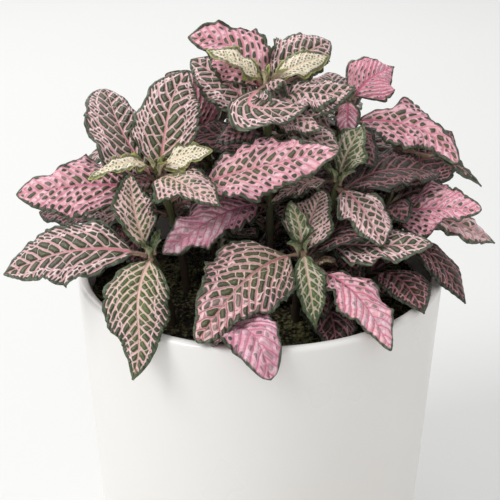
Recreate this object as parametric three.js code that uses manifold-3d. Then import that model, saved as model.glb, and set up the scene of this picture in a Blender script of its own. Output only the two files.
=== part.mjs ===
// Potted nerve plant (Fittonia): a plain white tapered pot, its soil, ten leafy
// stems and the leaves that each of them carries.
// Millimetres, +Z up. The origin is the middle of the pot's flat base.

import * as THREE from 'three';
import Module from 'manifold-3d';
import { mergeVertices } from 'three/addons/utils/BufferGeometryUtils.js';

const wasm = await Module();
wasm.setup();

// ---- Driving dimensions ---------------------------------------------------

const POT_HEIGHT = 118;
const RIM_RADIUS = 65; // outside of the rim
const WALL_TAPER = 0.055; // how much the radius shrinks for each mm going down
const WALL = 4;
const POT_FLOOR = 6;
const RIM_ROUND = 1.6; // both edges of the rim are rounded
const FOOT_CHAMFER = 1.5;
const POT_FACETS = 72;

const SOIL_EDGE = 107; // height of the soil at the wall
const SOIL_MOUND = 2; // how much higher it is in the middle
const SOIL_LUMP = 0.5; // unevenness of its surface
const PLANTING_DEPTH = 7; // how deep a stem stands in the soil

const GAP = 0.3; // between pieces that touch
const STEM_RADIUS = 1.5;
const STEM_TIP_RADIUS = 0.8;
const STEM_FACETS = 8;
const STEM_RINGS = 6;
const STEM_LEAN = 1.6; // a stem rises straight at first and leans more and more

const LEAF_STATIONS = 10; // steps along a leaf
const LEAF_SPANS = 4; // steps across it
const LEAF_THICKNESS = 0.6;
const STALK_THICKNESS = 1.3;
const STALK_HALF_WIDTH = 0.85;
const TIP_HALF_WIDTH = 0.3;
const WIDEST_AT = 0.44; // share of the blade's length
const SHOULDER = 0.72; // below 1 the blade fills out fast from its stalk
const HOOK_FROM = 0.6; // share of the length from where a tip bends aside
const PINCH_FROM = 0.56; // shares of the length between which a pinched blade narrows
const PINCH_TO = 0.7;

// ---- Materials ------------------------------------------------------------

const material = (color, roughness) => new THREE.MeshStandardMaterial({ color, roughness, metalness: 0 });

const finishes = {
  pot: () => material(0xf1efec, 0.32),
  soil: () => material(0x241d17, 0.95),
  stem: () => material(0x77804f, 0.6),
  nerved: () => material(0x6f6a60, 0.5), // dark green with a net of pink veins
  flushed: () => material(0xc78d9d, 0.5), // pink spread over most of the blade
  shaded: () => material(0x453f38, 0.5), // dull, nearly black green with thin veins
  young: () => material(0xd8cfae, 0.5), // cream, just unfolded
  fresh: () => material(0x869865, 0.5), // light green with pale veins
};

// ---- The plant ------------------------------------------------------------
// Each stem stands at its foot [x, y] and ends at its tip [x, y, z].
// A leaf leaves the stem at a height. Its heading is counted from +X towards +Y,
// and its rise is the slope of the straight line from its base to its tip.
// That line has the leaf's length. Angles are in degrees.
//   roll   tips the blade about that line, left side up
//   bow    how far it arches up, and sway how far it bends left, as shares of the length
//   peak   where along the leaf both are greatest
//   hook   how far the tip bends aside to the left, as a share of the length
//   fold   how steeply both halves rise from the midrib
//   curl   how much the halves bend back down towards their edges
//   frill  height of the waves along the edges, waves of them on each side
//   taper  above 1 draws the tip out to a point, below 1 rounds it
//   pinch  how much narrower the blade suddenly gets towards its tip, as a share
//   stalk  the share of the length that lies before the blade

const plain = {
  finish: 'nerved',
  roll: 0,
  bow: 0.12,
  sway: 0,
  peak: 0.44,
  hook: 0,
  fold: 20,
  curl: 44,
  frill: 1,
  waves: 3,
  phase: 0,
  taper: 0.68,
  pinch: 0,
  stalk: 0.1,
};

const stems = {
  crown: {
    foot: [4, -4],
    tip: [2, 4, 184],
    leaves: {
      back_left: {
        height: 178, heading: 145, rise: 34, length: 34, width: 23, roll: -40, sway: -0.12,
        hook: 0.1, pinch: 0.2, finish: 'flushed',
      },
      back_right: { height: 180, heading: 44, rise: 22, length: 32, width: 20, roll: 35, sway: 0.05 },
      young_left: {
        height: 183, heading: 180, rise: 32, length: 22, width: 9, roll: -30, fold: 30, finish: 'young',
      },
      young_right: {
        height: 183, heading: 21, rise: 19, length: 23, width: 9, roll: 40, fold: 20, finish: 'young',
      },
      front: {
        height: 180.5, heading: -48, rise: -13, length: 22, width: 12, roll: -5, bow: 0.2, sway: -0.85,
      },
      right: {
        height: 169.5, heading: -8, rise: 27, length: 31, width: 17, roll: 36, taper: 0.9, stalk: 0.2,
      },
      left: { height: 171, heading: 146, rise: 28, length: 34, width: 18, roll: -35 },
      low_right: {
        height: 165, heading: -35, rise: 2, length: 28, width: 14, roll: 20, taper: 0.9, stalk: 0.25,
      },
      low_left: {
        height: 141, heading: -142, rise: -8, length: 44, width: 20, roll: -15, finish: 'flushed',
      },
    },
  },
  back_right: {
    foot: [24, 8],
    tip: [31, 14, 175],
    leaves: {
      up: {
        height: 173.5, heading: 29, rise: 30, length: 20, width: 16, roll: 40, sway: 0.08,
        taper: 1.1, finish: 'flushed',
      },
      strip: { height: 174, heading: -95, rise: -32, length: 17, width: 9, finish: 'flushed' },
      long: {
        height: 166, heading: -12, rise: -8, length: 40, width: 20, roll: 26, hook: -0.22,
        taper: 0.5, pinch: 0.3, finish: 'flushed',
      },
      tail: {
        height: 159, heading: -10, rise: -15, length: 50, width: 3.6, roll: 40, bow: 0.2,
        peak: 0.6, taper: 0.7, stalk: 0.6,
      },
    },
  },
  left: {
    foot: [-26, -4],
    tip: [-35, -12, 158],
    leaves: {
      up: {
        height: 156, heading: 70, rise: 61, length: 36, width: 23, roll: 15, hook: -0.1,
        taper: 0.75, stalk: 0.06,
      },
      back: { height: 151, heading: 131, rise: 43, length: 40, width: 26, sway: 0.16, taper: 0.5 },
      young_left: {
        height: 158, heading: -147, rise: 4, length: 24, width: 7, roll: -20, bow: 0.18, finish: 'young',
      },
      young_right: {
        height: 158, heading: -11, rise: 24, length: 20, width: 9, roll: 40, finish: 'young',
      },
      front: {
        height: 155, heading: -51, rise: 0, length: 32, width: 19, roll: 6, sway: -0.08, taper: 0.9,
      },
      low: { height: 140, heading: 55, rise: 2, length: 20, width: 16, roll: 20 },
      long_left: {
        height: 149, heading: -175, rise: 1, length: 48, width: 25, roll: -40, pinch: 0.15,
        stalk: 0.2, finish: 'flushed',
      },
      long_right: {
        height: 146, heading: -20, rise: 23, length: 64, width: 23, roll: 40, bow: 0.07,
        pinch: 0.15, stalk: 0.24, finish: 'flushed',
      },
    },
  },
  low_left: {
    foot: [-30, -28],
    tip: [-36, -35, 138],
    leaves: {
      up: { height: 137.6, heading: 122, rise: 64, length: 26, width: 13.5, sway: 0.12 },
      long_left: {
        height: 136, heading: 177, rise: -9, length: 49, width: 21, roll: -40, sway: -0.05, taper: 0.8,
      },
      over_rim: {
        height: 136, heading: -90, rise: -44, length: 41, width: 23, sway: -0.09, hook: -0.12,
        taper: 0.9, pinch: 0.25, stalk: 0.04,
      },
    },
  },
  front: {
    foot: [12, -27],
    tip: [13.7, -31, 137],
    leaves: {
      up: { height: 137, heading: 120, rise: 66, length: 16, width: 9, finish: 'fresh' },
      down: {
        height: 136.6, heading: -79, rise: -43, length: 27, width: 10, sway: -0.02, taper: 1,
        stalk: 0.07, finish: 'fresh',
      },
      back: { height: 133, heading: 60, rise: 54, length: 24, width: 17, finish: 'shaded' },
      big: {
        height: 135.3, heading: -136, rise: -19, length: 48, width: 31, roll: -22, sway: -0.06,
        taper: 0.55, pinch: 0.35,
      },
      right: {
        height: 130, heading: -47, rise: -21, length: 42, width: 20, sway: 0.06, pinch: 0.25,
        stalk: 0.2, finish: 'flushed',
      },
    },
  },
  low_front: {
    foot: [-15, -38],
    tip: [-15, -40, 120],
    leaves: {
      over_rim: {
        height: 119.7, heading: -60, rise: -14, length: 36, width: 21, roll: 12, bow: 0.27,
        sway: 0.02, peak: 0.71, taper: 0.5, finish: 'flushed',
      },
    },
  },
  middle: {
    foot: [18, -20],
    tip: [26.3, -10, 154],
    leaves: {
      left: { height: 153, heading: -165, rise: -15, length: 24, width: 15, taper: 1, finish: 'shaded' },
      up: {
        height: 153, heading: 40, rise: 59, length: 21, width: 14, roll: 10, taper: 1.1, finish: 'fresh',
      },
      right: { height: 151, heading: -57, rise: -25, length: 28, width: 18 },
      low_right: {
        height: 133, heading: -27, rise: 11, length: 38, width: 20, roll: 20, bow: 0.04, sway: -0.08,
      },
    },
  },
  right: {
    foot: [36, -10],
    tip: [46, -2, 147],
    leaves: {
      long: {
        height: 138.6, heading: -27, rise: 14, length: 34, width: 24, roll: 27, bow: 0.05,
        taper: 0.5, pinch: 0.35, finish: 'flushed',
      },
      back: {
        height: 146, heading: 44, rise: 25, length: 34, width: 24, roll: 35, taper: 0.8, finish: 'shaded',
      },
      tail: {
        height: 136, heading: 3, rise: -13, length: 40, width: 11, roll: 30, bow: 0.18, taper: 0.9,
        stalk: 0.35,
      },
      low: {
        height: 131, heading: -25, rise: -31, length: 37, width: 18, sway: 0.1, taper: 0.95,
        stalk: 0.25, finish: 'shaded',
      },
      lowest: {
        height: 118, heading: -64, rise: 2, length: 35, width: 18, sway: 0.06, taper: 0.95,
        stalk: 0.15, finish: 'shaded',
      },
    },
  },
  back_left: {
    foot: [-16, 14],
    tip: [-20, 20, 163],
    leaves: {
      up: {
        height: 159.5, heading: 180, rise: 64, length: 26, width: 16, roll: -75, sway: -0.15,
        finish: 'flushed',
      },
      left: { height: 148, heading: 160, rise: 6, length: 38, width: 22 },
      back: { height: 157, heading: 105, rise: 12, length: 44, width: 24 },
      low_left: { height: 129, heading: 150, rise: 0, length: 50, width: 25 },
    },
  },
  rear: {
    foot: [6, 32],
    tip: [8, 38, 152],
    leaves: {
      left: { height: 151, heading: 135, rise: 14, length: 40, width: 23, finish: 'flushed' },
      right: { height: 150, heading: 45, rise: 8, length: 44, width: 24 },
      middle: { height: 143, heading: 88, rise: -15, length: 46, width: 25, bow: 0.18 },
      low_right: { height: 133, heading: 15, rise: 5, length: 50, width: 25, finish: 'flushed' },
      low_left: { height: 126, heading: 120, rise: -2, length: 44, width: 24, finish: 'shaded' },
    },
  },
};

const radians = THREE.MathUtils.degToRad;

// ---- Pot ------------------------------------------------------------------

const outerRadius = (height) => RIM_RADIUS - WALL_TAPER * (POT_HEIGHT - height);
const innerRadius = (height) => outerRadius(height) - WALL;

function makePot() {
  const section = new THREE.Path();
  section.moveTo(0, 0);
  section.lineTo(outerRadius(0) - FOOT_CHAMFER, 0);
  section.lineTo(outerRadius(FOOT_CHAMFER), FOOT_CHAMFER);
  const shoulder = POT_HEIGHT - RIM_ROUND;
  section.lineTo(outerRadius(shoulder), shoulder);
  section.quadraticCurveTo(RIM_RADIUS, POT_HEIGHT, RIM_RADIUS - RIM_ROUND, POT_HEIGHT);
  section.lineTo(RIM_RADIUS - WALL + RIM_ROUND, POT_HEIGHT);
  section.quadraticCurveTo(RIM_RADIUS - WALL, POT_HEIGHT, innerRadius(shoulder), shoulder);
  section.lineTo(innerRadius(POT_FLOOR), POT_FLOOR);
  section.lineTo(0, POT_FLOOR);
  return lathe(section.getPoints(3));
}

// Turns a profile about +Z. It starts and ends on the axis.
function lathe(profile) {
  const geometry = new THREE.LatheGeometry(profile, POT_FACETS);
  geometry.rotateX(Math.PI / 2);
  return geometry;
}

// ---- Soil -----------------------------------------------------------------

function soilHeight(radius) {
  const outwards = radius / innerRadius(SOIL_EDGE);
  return SOIL_EDGE + SOIL_MOUND * Math.cos((outwards * Math.PI) / 2);
}

function makeSoil() {
  const bottom = POT_FLOOR + GAP;
  const profile = [new THREE.Vector2(0, bottom), new THREE.Vector2(innerRadius(bottom) - GAP, bottom)];
  const rings = 6;
  const edge = innerRadius(SOIL_EDGE) - GAP;
  for (let ring = rings; ring >= 0; ring--) {
    const radius = (edge * ring) / rings;
    profile.push(new THREE.Vector2(radius, soilHeight(radius)));
  }
  const geometry = lathe(profile);
  const position = geometry.attributes.position;
  for (let i = 0; i < position.count; i++) {
    const [x, y, z] = [position.getX(i), position.getY(i), position.getZ(i)];
    const inside = Math.hypot(x, y) < edge - 1;
    if (z > bottom + 1 && inside) position.setZ(i, z + SOIL_LUMP * Math.sin(x * 0.31) * Math.cos(y * 0.27));
  }
  let soil = toSolid(geometry);
  for (const stem of Object.values(stems)) soil = soil.subtract(toSolid(makeSocket(stem)));
  return toGeometry(soil);
}

// The hole that a stem stands in.
function makeSocket(stem) {
  const [x, y] = stem.foot;
  const depth = PLANTING_DEPTH + GAP;
  const top = 6;
  const socket = new THREE.CylinderGeometry(STEM_RADIUS + GAP, STEM_RADIUS + GAP, depth + top, STEM_FACETS);
  socket.rotateX(Math.PI / 2);
  return socket.translate(x, y, soilHeight(Math.hypot(x, y)) + (top - depth) / 2);
}

function toSolid(geometry) {
  const bare = geometry.clone();
  bare.deleteAttribute('normal');
  bare.deleteAttribute('uv');
  const merged = mergeVertices(bare, 1e-4);
  const mesh = new wasm.Mesh({
    numProp: 3,
    vertProperties: new Float32Array(merged.attributes.position.array),
    triVerts: new Uint32Array(merged.index.array),
  });
  return new wasm.Manifold(mesh);
}

function toGeometry(solid) {
  const mesh = solid.getMesh();
  const geometry = new THREE.BufferGeometry();
  geometry.setAttribute('position', new THREE.BufferAttribute(mesh.vertProperties, 3));
  geometry.setIndex(new THREE.BufferAttribute(mesh.triVerts, 1));
  return geometry;
}

// ---- Stems ----------------------------------------------------------------

// The middle of a stem at a height. Below the soil it is upright.
function stemPoint(stem, height) {
  const share = Math.max(0, (height - SOIL_EDGE) / (stem.tip[2] - SOIL_EDGE));
  const lean = share ** STEM_LEAN;
  const x = THREE.MathUtils.lerp(stem.foot[0], stem.tip[0], lean);
  const y = THREE.MathUtils.lerp(stem.foot[1], stem.tip[1], lean);
  return new THREE.Vector3(x, y, height);
}

const stemFoot = (stem) => soilHeight(Math.hypot(...stem.foot)) - PLANTING_DEPTH;

// A stem is equally thick up to its last ring, and narrows from there to its tip.
function stemRadius(stem, height) {
  const ring = (stem.tip[2] - stemFoot(stem)) / STEM_RINGS;
  const left = Math.min(1, (stem.tip[2] - height) / ring);
  return THREE.MathUtils.lerp(STEM_TIP_RADIUS, STEM_RADIUS, left);
}

// A round rod bent along the stem's line.
function makeStem(stem) {
  const rod = new THREE.CylinderGeometry(1, 1, 1, STEM_FACETS, STEM_RINGS);
  rod.rotateX(Math.PI / 2);
  const position = rod.attributes.position;
  for (let i = 0; i < position.count; i++) {
    const height = THREE.MathUtils.lerp(stemFoot(stem), stem.tip[2], position.getZ(i) + 0.5);
    const skin = new THREE.Vector3(position.getX(i), position.getY(i), 0);
    const point = stemPoint(stem, height).addScaledVector(skin, stemRadius(stem, height));
    position.setXYZ(i, point.x, point.y, point.z);
  }
  return rod;
}

// ---- Leaves ---------------------------------------------------------------

// Half the blade's width at a share of the leaf's length.
function halfWidth(leaf, share) {
  const stalk = THREE.MathUtils.lerp(STALK_HALF_WIDTH, TIP_HALF_WIDTH, share);
  const along = (share - leaf.stalk) / (1 - leaf.stalk);
  if (along <= 0) return stalk;
  const swell = Math.sin(Math.PI * along ** (Math.log(0.5) / Math.log(WIDEST_AT)));
  const blade = (leaf.width / 2) * Math.max(swell, 0) ** (along < WIDEST_AT ? SHOULDER : leaf.taper);
  const pinched = leaf.pinch * THREE.MathUtils.smoothstep(share, PINCH_FROM, PINCH_TO);
  return Math.max(stalk, blade * (1 - pinched));
}

// The midrib at a share of the length: it arches over and bends sideways.
function midrib(leaf, share) {
  const bulge = Math.sin(Math.PI * share ** (Math.log(0.5) / Math.log(leaf.peak)));
  const tipwards = Math.max(0, (share - HOOK_FROM) / (1 - HOOK_FROM)) ** 2;
  const aside = leaf.sway * bulge + leaf.hook * tipwards;
  return new THREE.Vector3(share, aside, leaf.bow * bulge).multiplyScalar(leaf.length);
}

// A point of the leaf: share runs from base to tip, across from -1 to 1, and face is
// 1 on the upper face and -1 on the lower one.
function leafPoint(leaf, share, across, face) {
  const step = 0.01;
  const ahead = midrib(leaf, Math.min(1, share + step));
  const tangent = ahead.sub(midrib(leaf, Math.max(0, share - step))).normalize();
  const left = new THREE.Vector3(0, 0, 1).cross(tangent).normalize();
  const up = tangent.clone().cross(left);

  const out = Math.abs(across);
  const side = Math.sign(across);
  const slope = radians(leaf.fold - leaf.curl * out);
  const chordSlope = radians(leaf.fold - (leaf.curl * out) / 2);
  const reach = halfWidth(leaf, share) * out;
  const wave = Math.sin(2 * Math.PI * leaf.waves * share + leaf.phase + (side < 0 ? 2 : 0));
  const lift = leaf.frill * wave * out ** 2 * Math.sin(Math.PI * share);

  const thin = Math.min(1, share / leaf.stalk);
  const thickness = THREE.MathUtils.lerp(STALK_THICKNESS, LEAF_THICKNESS, thin);
  return midrib(leaf, share)
    .addScaledVector(left, side * reach * Math.cos(chordSlope))
    .addScaledVector(up, reach * Math.sin(chordSlope) + lift)
    .addScaledVector(up, (face * thickness * Math.cos(slope)) / 2)
    .addScaledVector(left, (-side * face * thickness * Math.sin(slope)) / 2);
}

// A closed slab whose every vertex is moved to its place on the leaf.
function makeLeaf(leaf) {
  const slab = new THREE.BoxGeometry(1, 2, 2, LEAF_STATIONS, LEAF_SPANS, 1);
  const position = slab.attributes.position;
  for (let i = 0; i < position.count; i++) {
    const point = leafPoint(leaf, position.getX(i) + 0.5, position.getY(i), position.getZ(i));
    position.setXYZ(i, point.x, point.y, point.z);
  }
  return slab;
}

function leafTurn(leaf) {
  return new THREE.Euler(radians(leaf.roll), radians(-leaf.rise), radians(leaf.heading), 'ZYX');
}

// The place where a leaf starts. Its foremost corner stops a gap away from the stem's skin.
function leafBase(stem, leaf) {
  const heading = radians(leaf.heading);
  const outwards = new THREE.Vector3(Math.cos(heading), Math.sin(heading), 0);
  let back = 0;
  for (const [across, face] of [[-1, -1], [-1, 1], [1, -1], [1, 1]]) {
    const corner = leafPoint(leaf, 0, across, face).applyEuler(leafTurn(leaf));
    back = Math.max(back, -corner.dot(outwards));
  }
  return stemPoint(stem, leaf.height).addScaledVector(outwards, stemRadius(stem, leaf.height) + GAP + back);
}

// ---- Assembly -------------------------------------------------------------

function addMesh(parent, name, geometry, finish) {
  const mesh = new THREE.Mesh(geometry, finishes[finish]());
  mesh.name = name;
  parent.add(mesh);
  return mesh;
}

const plant = new THREE.Group();
addMesh(plant, 'pot', makePot(), 'pot');
addMesh(plant, 'soil', makeSoil(), 'soil');

for (const [stemName, stem] of Object.entries(stems)) {
  const shoot = new THREE.Group();
  addMesh(shoot, `stem_${stemName}`, makeStem(stem), 'stem');
  for (const [leafName, form] of Object.entries(stem.leaves)) {
    const leaf = { ...plain, ...form };
    const blade = addMesh(shoot, `leaf_${stemName}_${leafName}`, makeLeaf(leaf), leaf.finish);
    blade.position.copy(leafBase(stem, leaf));
    blade.setRotationFromEuler(leafTurn(leaf));
  }
  plant.add(shoot);
}

export default plant;
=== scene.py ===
# Potted nerve plant: leafy stems with pink-veined leaves, in soil, in a plain white pot.
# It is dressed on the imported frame, in metres, +Z up. Sizes of leaves are in millimetres.
from math import cos, e, pi, radians, sin, sqrt

import bpy
from mathutils import Euler, Matrix, Vector, noise
from mathutils.bvhtree import BVHTree


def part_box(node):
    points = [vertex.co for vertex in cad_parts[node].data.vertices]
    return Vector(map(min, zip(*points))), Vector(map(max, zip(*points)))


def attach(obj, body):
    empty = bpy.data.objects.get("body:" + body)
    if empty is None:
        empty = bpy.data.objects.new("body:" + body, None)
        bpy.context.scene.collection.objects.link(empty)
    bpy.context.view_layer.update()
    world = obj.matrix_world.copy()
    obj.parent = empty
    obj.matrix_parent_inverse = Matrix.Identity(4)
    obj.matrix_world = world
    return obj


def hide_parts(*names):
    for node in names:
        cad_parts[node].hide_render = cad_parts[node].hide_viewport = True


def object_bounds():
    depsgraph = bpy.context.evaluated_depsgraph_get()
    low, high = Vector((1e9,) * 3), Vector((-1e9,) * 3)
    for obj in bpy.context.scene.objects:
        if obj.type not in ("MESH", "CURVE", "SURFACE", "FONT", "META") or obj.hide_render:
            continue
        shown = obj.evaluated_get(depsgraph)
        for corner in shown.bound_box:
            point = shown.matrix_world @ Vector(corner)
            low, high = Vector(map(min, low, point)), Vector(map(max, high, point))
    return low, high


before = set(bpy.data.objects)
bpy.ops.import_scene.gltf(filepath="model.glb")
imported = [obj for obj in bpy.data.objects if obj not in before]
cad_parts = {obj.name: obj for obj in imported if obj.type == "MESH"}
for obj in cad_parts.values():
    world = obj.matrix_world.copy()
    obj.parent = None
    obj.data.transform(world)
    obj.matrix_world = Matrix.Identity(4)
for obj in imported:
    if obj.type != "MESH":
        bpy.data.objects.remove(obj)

CAD_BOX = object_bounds()
MM = 0.001


# ---- Pot --------------------------------------------------------------------
# A slip-cast tapered pot of white earthenware under a smooth white glaze.
# Its rim is rounded, and it stands on a bare foot ring that the glaze stops short of.

POT_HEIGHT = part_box("pot")[1].z
RIM_RADIUS = 65 * MM
TAPER = 0.055  # how much the radius shrinks for each metre going down
WALL = 4 * MM
RIM_ROUND = 1.7 * MM
FOOT_ROUND = 1.8 * MM
FOOT_RING = 5 * MM  # width of the ring that touches the table
FOOT_RECESS = 1.2 * MM
POT_FLOOR = 6 * MM
WALL_STEPS = 12
GLAZE_ENDS = 1.5 * MM  # the glaze stops this far above the table


class Flow:
    """A socket of a node tree. Python's own signs on it add the maths nodes."""

    def __init__(self, tree, socket=None):
        self.tree, self.socket = tree, socket

    def make(self, kind, settings=None, inputs=None, out=0):
        """Adds a node: its settings first, then its inputs, as values or as links."""
        node = self.tree.nodes.new(kind)
        for name, value in (settings or {}).items():
            setattr(node, name, value)
        for key, value in (inputs or {}).items():
            if isinstance(value, Flow):
                self.tree.links.new(value.socket, node.inputs[key])
            else:
                node.inputs[key].default_value = value
        return Flow(self.tree, node.outputs[out])

    def maths(self, operation, *values):
        return self.make("ShaderNodeMath", {"operation": operation}, dict(enumerate(values)))

    def vector(self, operation, *values):
        return self.make("ShaderNodeVectorMath", {"operation": operation}, dict(enumerate(values)))

    def __add__(self, other):
        return self.maths("ADD", self, other)

    def __sub__(self, other):
        return self.maths("SUBTRACT", self, other)

    def __rsub__(self, other):
        return self.maths("SUBTRACT", other, self)

    def __mul__(self, other):
        return self.maths("MULTIPLY", self, other)

    def __truediv__(self, other):
        return self.maths("DIVIDE", self, other)

    def __rtruediv__(self, other):
        return self.maths("DIVIDE", other, self)

    def __pow__(self, other):
        return self.maths("POWER", self, other)

    def __lt__(self, other):
        return self.maths("LESS_THAN", self, other)

    def __gt__(self, other):
        return self.maths("GREATER_THAN", self, other)

    def __abs__(self):
        return self.maths("ABSOLUTE", self)

    __radd__, __rmul__ = __add__, __mul__

    def part(self, axis):
        """One of the three parts of a vector."""
        return self.make("ShaderNodeSeparateXYZ", inputs={0: self}, out=axis)

    def scaled(self, amount):
        """This vector times a number."""
        return self.vector("MULTIPLY", self, self.join(amount, amount, amount))

    def ramp(self, low, high):
        """0 below low, 1 above high, smooth between; the other way round if low is higher."""
        settings = {"interpolation_type": "SMOOTHSTEP"}
        return self.make("ShaderNodeMapRange", settings, {0: self, 1: low, 2: high})

    def mix(self, low, high):
        """Goes from the first number to the second as this goes from 0 to 1."""
        return low + (high - low) * self

    def blend(self, first, second):
        """The same for colours: a Mix node has them at its inputs 6 and 7 and its output 2."""
        return self.make("ShaderNodeMix", {"data_type": "RGBA"}, {0: self, 6: first, 7: second}, 2)

    def noise(self, scale, detail=2.0):
        """Soft noise from 0 to 1 at this place."""
        inputs = {"Vector": self, "Scale": scale, "Detail": detail}
        return self.make("ShaderNodeTexNoise", {"noise_dimensions": "3D"}, inputs)

    def join(self, x, y, z=0.0):
        return self.make("ShaderNodeCombineXYZ", inputs={0: x, 1: y, 2: z})


def colour(red, green, blue):
    """A colour as a screen shows it, 0 to 255, in the linear values that shaders take."""
    linear = [((c / 255 + 0.055) / 1.055) ** 2.4 if c > 10 else c / 3295 for c in (red, green, blue)]
    return (*linear, 1.0)


def new_material(name, base, rough, height=None, bump=0.3 * MM, **constants):
    """A material whose colour, roughness and relief are flows made by the given functions."""
    material = bpy.data.materials.new(name)
    material.use_nodes = True
    tree = material.node_tree
    shader = tree.nodes["Principled BSDF"]
    for key, value in constants.items():
        shader.inputs[key.replace("_", " ")].default_value = value
    start = Flow(tree)
    place = start.make("ShaderNodeTexCoord", out=3)
    for key, made in (("Base Color", base), ("Roughness", rough)):
        tree.links.new(made(place).socket, shader.inputs[key])
    if height:
        relief = start.make("ShaderNodeBump", inputs={"Distance": bump, "Height": height(place)})
        tree.links.new(relief.socket, shader.inputs["Normal"])
    return material


def arc(centre, radius, start, end, steps=6):
    """Points of a round corner in a profile, from one angle to another, in degrees."""
    turns = [radians(start + (end - start) * i / steps) for i in range(steps + 1)]
    return [(centre[0] + radius * cos(t), centre[1] + radius * sin(t)) for t in turns]


def turned(name, profile, material, facets=160):
    """A piece turned on a wheel: a profile of (radius, height) from axis to axis."""
    points, faces, rings = [], [], []
    for radius, height in profile:
        count = 1 if radius < 1e-9 else facets
        rings.append(range(len(points), len(points) + count))
        turns = [2 * pi * i / facets for i in range(count)]
        points += [(radius * cos(t), radius * sin(t), height) for t in turns]
    for low, high in zip(rings, rings[1:]):
        for i in range(facets):
            corners = [low[i % len(low)], low[(i + 1) % len(low)]]
            corners += [high[(i + 1) % len(high)], high[i % len(high)]]
            faces.append(list(dict.fromkeys(corners)))
    mesh = bpy.data.meshes.new(name)
    mesh.from_pydata(points, [], faces)
    mesh.shade_smooth()
    mesh.materials.append(material)
    piece = bpy.data.objects.new(name, mesh)
    bpy.context.scene.collection.objects.link(piece)
    return piece


def pot_radius(height):
    """Radius of the pot's outside at a height."""
    return RIM_RADIUS - TAPER * (POT_HEIGHT - height)


def pot_profile():
    """Half of the pot's section, from the middle of its foot to the middle of its floor."""
    foot = pot_radius(0)
    profile = [(0, FOOT_RECESS), (foot - FOOT_RING - 2 * FOOT_ROUND, FOOT_RECESS)]
    profile += [(foot - FOOT_RING - FOOT_ROUND, 0), (foot - FOOT_ROUND, 0)]
    profile += arc((foot - FOOT_ROUND, FOOT_ROUND), FOOT_ROUND, -80, 0)
    top = POT_HEIGHT - RIM_ROUND
    levels = [FOOT_ROUND + (top - FOOT_ROUND) * i / WALL_STEPS for i in range(1, WALL_STEPS)]
    profile += [(pot_radius(z), z) for z in levels]
    outer = pot_radius(top) - RIM_ROUND
    inner = pot_radius(top) - WALL + RIM_ROUND
    profile += arc((outer, top), RIM_ROUND, 0, 90)
    profile += arc((inner, top), RIM_ROUND, 90, 180)
    profile += [(pot_radius(POT_FLOOR) - WALL, POT_FLOOR), (0, POT_FLOOR)]
    return profile


BARE_CLAY, DARK_CLAY = colour(222, 212, 198), colour(205, 193, 176)
GLAZE = colour(233, 231, 228)
GLAZE_WARM = colour(231, 227, 222)
GLAZE_ROUGH, CLAY_ROUGH = 0.24, 0.8


def pot_colour(place):
    tone = place.noise(9.0, 3.0).ramp(0.35, 0.7).blend(GLAZE, GLAZE_WARM)
    grain = place.noise(900.0).blend(BARE_CLAY, DARK_CLAY)
    bare = (place.part(2) + place.noise(120.0) * 0.6 * MM).ramp(GLAZE_ENDS, GLAZE_ENDS - 0.3 * MM)
    return bare.blend(tone, grain)


def pot_roughness(place):
    bare = place.part(2).ramp(GLAZE_ENDS + 0.3 * MM, GLAZE_ENDS - 0.1 * MM)
    return bare.mix(GLAZE_ROUGH + place.noise(35.0) * 0.1, CLAY_ROUGH)


def pot_relief(place):
    """Slow waves of the glaze, with fine orange peel."""
    return place.noise(14.0, 1.0) + place.noise(420.0) * 0.04


glaze = new_material("white_glaze", pot_colour, pot_roughness, pot_relief, 0.5 * MM, Coat_Weight=0.3)
pot = turned("glazed_pot", pot_profile(), glaze)
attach(pot, "root")
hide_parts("pot")


# ---- Soil -------------------------------------------------------------------
# Dark potting soil, loosely filled to just under the rim. It is one body whose top is
# uneven, with crumbs of peat and bits of bark strewn over it.

SOIL_LOW, SOIL_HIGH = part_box("soil")
SOIL_EDGE = 107 * MM  # height at the wall
SOIL_MOUND = 2 * MM
SOIL_RADIUS = SOIL_HIGH.x
GAP = 0.3 * MM  # between the pot and the soil
LUMP_HEIGHT, CLOD_HEIGHT = 1.6 * MM, 0.9 * MM
LUMPS_PER_M, CLODS_PER_M = 55, 190  # broad lumps, and the smaller clods on them
CRUMBS_PER_M2, GRAINS_PER_M2, CHIPS_PER_M2 = 150000, 75000, 30000
# Half sizes of the smallest and the biggest of each, along, across and up.
CRUMB_SIZES = (0.4 * MM,) * 3, (1.5 * MM, 1.3 * MM, 1.1 * MM)
GRAIN_SIZES = (0.2 * MM,) * 3, (0.6 * MM, 0.5 * MM, 0.5 * MM)
CHIP_SIZES = (0.6 * MM, 0.15 * MM, 0.1 * MM), (2.2 * MM, 0.5 * MM, 0.2 * MM)
FULL_TURNS = (6.3, 6.3, 6.3)  # in radians, about each axis
FACING_UP = 0.3  # bits lie on faces whose normal points up more than this

SOIL_DARK = colour(30, 27, 19)
SOIL_BROWN = colour(88, 78, 54)
SOIL_OLIVE = colour(126, 124, 84)


def soil_colour(place):
    """Dark peat with lighter fibres, and patches of dry moss."""
    grain = place.noise(700.0)
    tone = (place.noise(160.0, 4.0) + grain - 0.5).ramp(0.45, 0.75).blend(SOIL_DARK, SOIL_BROWN)
    moss = (place.noise(60.0, 3.0) + grain - 0.5).ramp(0.5, 0.8)
    return moss.blend(tone, SOIL_OLIVE)


def grow(name, tree, values, mesh=None):
    """Runs a nodes tree with these inputs and keeps the result as a plain mesh."""
    carrier = bpy.data.objects.new(name, mesh or bpy.data.meshes.new(name))
    bpy.context.scene.collection.objects.link(carrier)
    growth = carrier.modifiers.new("growth", "NODES")
    growth.node_group = tree
    for item in tree.interface.items_tree:
        if item.in_out == "INPUT" and item.name in values:
            growth[item.identifier] = values[item.name]
    shape = carrier.evaluated_get(bpy.context.evaluated_depsgraph_get())
    result = bpy.data.meshes.new_from_object(shape)
    carrier.modifiers.remove(growth)
    carrier.data = result
    return carrier


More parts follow.
